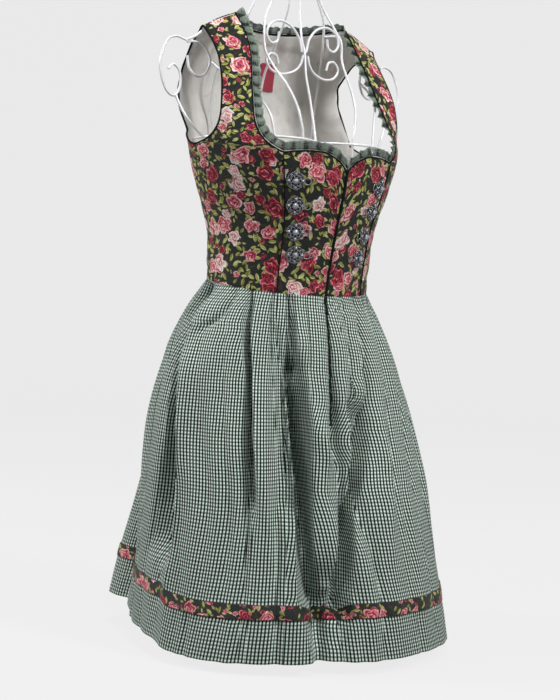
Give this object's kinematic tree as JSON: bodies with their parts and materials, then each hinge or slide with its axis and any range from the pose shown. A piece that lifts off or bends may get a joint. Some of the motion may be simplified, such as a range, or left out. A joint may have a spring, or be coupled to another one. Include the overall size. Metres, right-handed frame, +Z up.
{
  "type": "dirndl dress on wire dress form",
  "caption": "Sleeveless folk dress with fitted floral bodice, frilled neckline, hook brooches and pleated gingham skirt, on a white wire dress form.",
  "frame": {"origin": "middle of the underside of the form's base plate, on the floor", "axes": "+Z up, the dress front faces -Y, the wearer's left is +X"},
  "size_m": [0.5017, 0.5418, 1.107],
  "materials": {
    "rose_print": "matte printed cotton",
    "gingham": "matte woven cotton",
    "lining_cloth": "soft sateen",
    "black_piping": "matte",
    "green_lace": "matte",
    "rose_ribbon": "matte printed cotton",
    "red_label": "satin weave",
    "old_silver": "antiqued",
    "white_paint": "satin"
  },
  "bodies": {
    "root": {"bodice_back": "rose_print", "bodice_front_left": "rose_print", "bodice_front_right": "rose_print", "bodice_side_back_left": "rose_print", "bodice_side_back_right": "rose_print", "bodice_side_front_left": "rose_print", "bodice_side_front_right": "rose_print", "brooch_left_1": "old_silver", "brooch_left_2": "old_silver", "brooch_left_3": "old_silver", "brooch_left_4": "old_silver", "brooch_right_1": "old_silver", "brooch_right_2": "old_silver", "brooch_right_3": "old_silver", "brooch_right_4": "old_silver", "closure_strip": "black_piping", "form_back_left": "white_paint", "form_back_right": "white_paint", "form_base": "white_paint", "form_boss": "white_paint", "form_centre_back": "white_paint", "form_centre_front": "white_paint", "form_chest_ring": "white_paint", "form_collar": "white_paint", "form_finial": "white_paint", "form_front_left": "white_paint", "form_front_right": "white_paint", "form_lower_scroll_left": "white_paint", "form_lower_scroll_right": "white_paint", "form_pole": "white_paint", "form_shoulder_brace_left": "white_paint", "form_shoulder_brace_right": "white_paint", "form_shoulder_curl_left": "white_paint", "form_shoulder_curl_right": "white_paint", "form_shoulder_left": "white_paint", "form_shoulder_loop_left": "white_paint", "form_shoulder_loop_right": "white_paint", "form_shoulder_right": "white_paint", "form_side_left": "white_paint", "form_side_right": "white_paint", "form_upper_scroll_left": "white_paint", "form_upper_scroll_right": "white_paint", "form_waist_ring": "white_paint", "label": "red_label", "lining_back": "lining_cloth", "lining_side_back_left": "lining_cloth", "lining_side_back_right": "lining_cloth", "piping_armhole_left": "black_piping", "piping_armhole_right": "black_piping", "piping_neck": "black_piping", "piping_princess_left": "black_piping", "piping_princess_right": "black_piping", "ruffle_neck": "green_lace", "skirt": "gingham", "skirt_placket": "black_piping", "skirt_ribbon": "rose_ribbon"}
  },
  "joints": []
}
